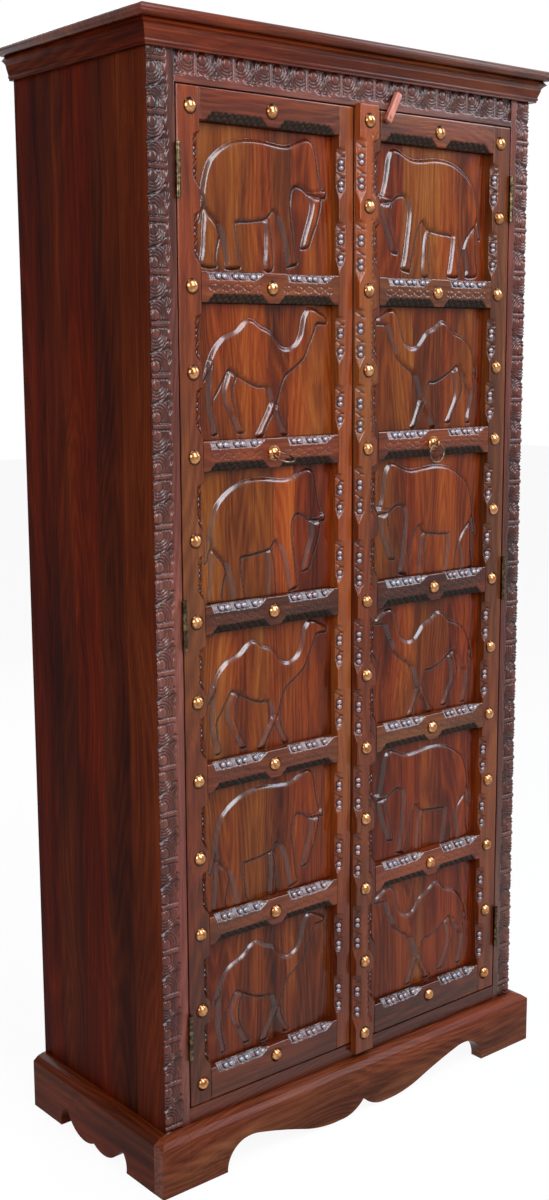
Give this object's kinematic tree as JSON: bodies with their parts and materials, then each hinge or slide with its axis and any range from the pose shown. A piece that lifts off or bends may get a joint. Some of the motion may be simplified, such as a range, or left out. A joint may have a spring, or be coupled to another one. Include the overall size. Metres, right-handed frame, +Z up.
{
  "type": "wardrobe",
  "caption": "Tall wardrobe with a moulded cornice, scalloped plinth and hinged doors of framed panels carved with elephants and camels, set with brass studs and ring pulls.",
  "frame": {"origin": "bottom centre of the overall box, on the floor", "axes": "+Z up, the doors face -Y, +X to the right seen from the front"},
  "size_m": [0.868, 0.4132, 1.8],
  "materials": {
    "dark_wood": "dark stained and lacquered",
    "panel_wood": "stained and lacquered, carved",
    "side_wood": "stained and lacquered, open grain",
    "inner_wood": "plain oiled",
    "stud_brass": "polished, coppery",
    "ring_brass": "aged",
    "hinge_brass": "satin",
    "fitting_steel": "satin"
  },
  "bodies": {
    "cabinet": {"side_panel_left": "side_wood", "side_panel_right": "side_wood", "back_boards": "side_wood", "bottom_board": "inner_wood", "hat_shelf": "inner_wood", "shoe_shelf": "inner_wood", "shelf_cleats": "inner_wood", "hanging_rail": "inner_wood", "rail_brackets": "inner_wood", "face_stile_left": "dark_wood", "face_stile_right": "dark_wood", "face_rail_top": "dark_wood", "face_rail_bottom": "dark_wood", "top_board": "dark_wood", "cornice_front": "dark_wood", "cornice_left": "dark_wood", "cornice_right": "dark_wood", "plinth_front": "dark_wood", "plinth_corner_blocks": "dark_wood", "plinth_left": "dark_wood", "plinth_right": "dark_wood", "plinth_back": "inner_wood", "foot_blocks": "inner_wood", "frame_hinge_leaves": "hinge_brass", "hinge_pins": "hinge_brass", "bolt_keeper": "fitting_steel", "door_stops": "inner_wood"},
    "left_door": {"left_hinge_stile": "dark_wood", "left_meeting_stile": "dark_wood", "left_door_rails": "dark_wood", "left_door_elephant_panels": "panel_wood", "left_door_camel_panels": "panel_wood", "left_door_studs": "stud_brass", "left_ring_eye": "stud_brass", "left_hinge_leaves": "hinge_brass", "bolt_plate": "fitting_steel"},
    "right_door": {"right_hinge_stile": "dark_wood", "right_meeting_stile": "dark_wood", "right_door_rails": "dark_wood", "right_door_elephant_panels": "panel_wood", "right_door_camel_panels": "panel_wood", "right_door_studs": "stud_brass", "right_ring_eye": "stud_brass", "right_hinge_leaves": "hinge_brass", "astragal": "dark_wood", "astragal_studs": "stud_brass"},
    "left_ring": {"left_ring": "ring_brass"},
    "right_ring": {"right_ring": "ring_brass"},
    "turn_button": {"turn_button": "dark_wood", "button_washer": "fitting_steel", "button_screw": "stud_brass", "latch_spindle": "fitting_steel", "latch_tongue": "fitting_steel"},
    "door_bolt": {"door_bolt": "fitting_steel"}
  },
  "joints": [
    {"name": "left_door_hinge", "type": "hinge", "parent": "cabinet", "child": "left_door", "pos_m": [-0.35875, -0.1681, 0.912], "axis": [0, 0, -1], "range_deg": [0, 150]},
    {"name": "right_door_hinge", "type": "hinge", "parent": "cabinet", "child": "right_door", "pos_m": [0.35875, -0.1681, 0.912], "axis": [0, 0, 1], "range_deg": [0, 150]},
    {"name": "left_ring_swing", "type": "hinge", "parent": "left_door", "child": "left_ring", "pos_m": [-0.179, -0.1744, 1.166], "axis": [-1, 0, 0], "range_deg": [-76, 102]},
    {"name": "right_ring_swing", "type": "hinge", "parent": "right_door", "child": "right_ring", "pos_m": [0.176, -0.1744, 1.166], "axis": [-1, 0, 0], "range_deg": [-8, 170]},
    {"name": "turn_button_turn", "type": "hinge", "parent": "right_door", "child": "turn_button", "pos_m": [0.061, -0.1639, 1.692], "axis": [0, 1, 0], "range_deg": [-70, 90]},
    {"name": "door_bolt_slide", "type": "slide", "parent": "left_door", "child": "door_bolt", "axis": [0, 0, 1], "range_m": [0, 0.014]}
  ]
}
